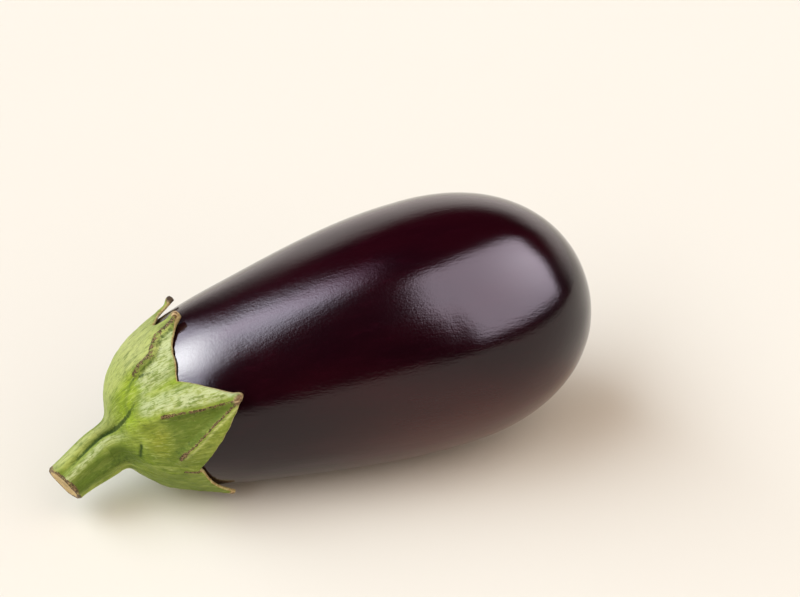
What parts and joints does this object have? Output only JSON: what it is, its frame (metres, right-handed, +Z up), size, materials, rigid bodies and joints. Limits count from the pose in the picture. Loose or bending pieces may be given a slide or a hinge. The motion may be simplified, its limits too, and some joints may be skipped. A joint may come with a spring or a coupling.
{
  "type": "eggplant",
  "caption": "Whole eggplant lying on its side: glossy near-black purple fruit, green pointed calyx and a ridged stem with a cut end.",
  "frame": {"origin": "centre of the small flat that the fruit rests on, under its weight", "axes": "+X along the fruit from stem to blossom end, seen from above; +Z up; the side seen in the picture faces -Y"},
  "size_m": [0.1921, 0.087, 0.0887],
  "materials": {
    "skin": "smooth waxy skin with a high gloss, near-black purple with a wine-red tint",
    "calyx_green": "matt fleshy leaf with fine pale hairs, brown along the folds and tan at the dry edges and tips",
    "stem_green": "matt ridged stalk with fine pale hairs and a dry tan cut end"
  },
  "bodies": {
    "root": {"fruit": "skin", "calyx": "calyx_green", "stem": "stem_green"}
  },
  "joints": []
}
